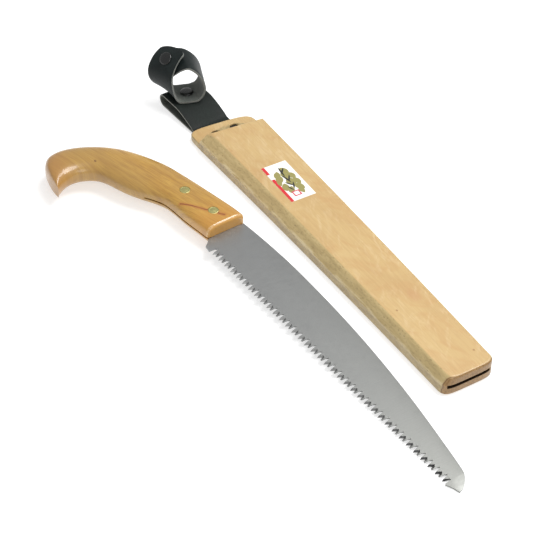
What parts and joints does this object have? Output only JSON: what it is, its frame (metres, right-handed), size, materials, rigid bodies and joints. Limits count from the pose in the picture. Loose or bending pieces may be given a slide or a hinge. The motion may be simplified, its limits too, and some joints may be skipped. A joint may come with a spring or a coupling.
{
  "type": "pruning saw with sheath",
  "caption": "Fixed-blade pruning saw with a hooked wooden grip and a tapered blade, beside its flat wooden sheath with a folded belt hanger and a snap band.",
  "frame": {"origin": "middle of the sheath's flat back, where the sheath lies on a surface", "axes": "+X along the sheath from its mouth to its drain end, +Y across it towards its spine side, +Z out of its front face"},
  "size_m": [0.4477, 0.1678, 0.0467],
  "materials": {
    "birch": "satin varnish",
    "birch_core": "bare",
    "varnished_wood": "gloss varnish",
    "label_paper": "matte",
    "saw_steel": "satin",
    "rivet_brass": "satin",
    "dull_metal": "satin",
    "black_metal": "satin",
    "strap_leather": "semi-matte",
    "band_leather": "semi-matte"
  },
  "bodies": {
    "sheath": {"front_board": "birch", "back_board": "birch", "spine_rail": "birch_core", "tooth_rail": "birch_core", "label": "label_paper", "strap_rivets": "dull_metal", "strap_washers": "dull_metal", "strap_ends": "strap_leather"},
    "hanger": {"hanger_strap": "strap_leather", "swivel_rivet": "black_metal", "swivel_washer": "dull_metal"},
    "band": {"retention_band": "band_leather", "snap_stud": "dull_metal", "snap_post": "dull_metal"},
    "flap": {"band_flap": "band_leather", "snap_cap": "black_metal", "snap_socket": "dull_metal"},
    "saw": {"blade": "saw_steel", "handle": "varnished_wood", "front_rivet_head": "rivet_brass", "front_rivet_stud": "rivet_brass", "rear_rivet_head": "rivet_brass", "rear_rivet_stud": "rivet_brass"}
  },
  "joints": [
    {"name": "hanger_bend", "type": "hinge", "parent": "sheath", "child": "hanger", "pos_m": [-0.16085, -0.0038, 0.0019], "axis": [-0.0523, 0.9986, 0], "range_deg": [-60, 60]},
    {"name": "band_swivel", "type": "hinge", "parent": "hanger", "child": "band", "pos_m": [-0.1945, -0.00556, 0.01155], "axis": [0, 0, 1], "range_deg": [-90, 90]},
    {"name": "flap_open", "type": "hinge", "parent": "band", "child": "flap", "pos_m": [-0.20261, -0.02354, 0.02734], "axis": [0.9131, 0.3689, 0.1736], "range_deg": [0, 70]},
    {"name": "saw_lift", "type": "slide", "parent": "sheath", "child": "saw", "axis": [0, 0, 1], "range_m": [0, 0.25]}
  ]
}
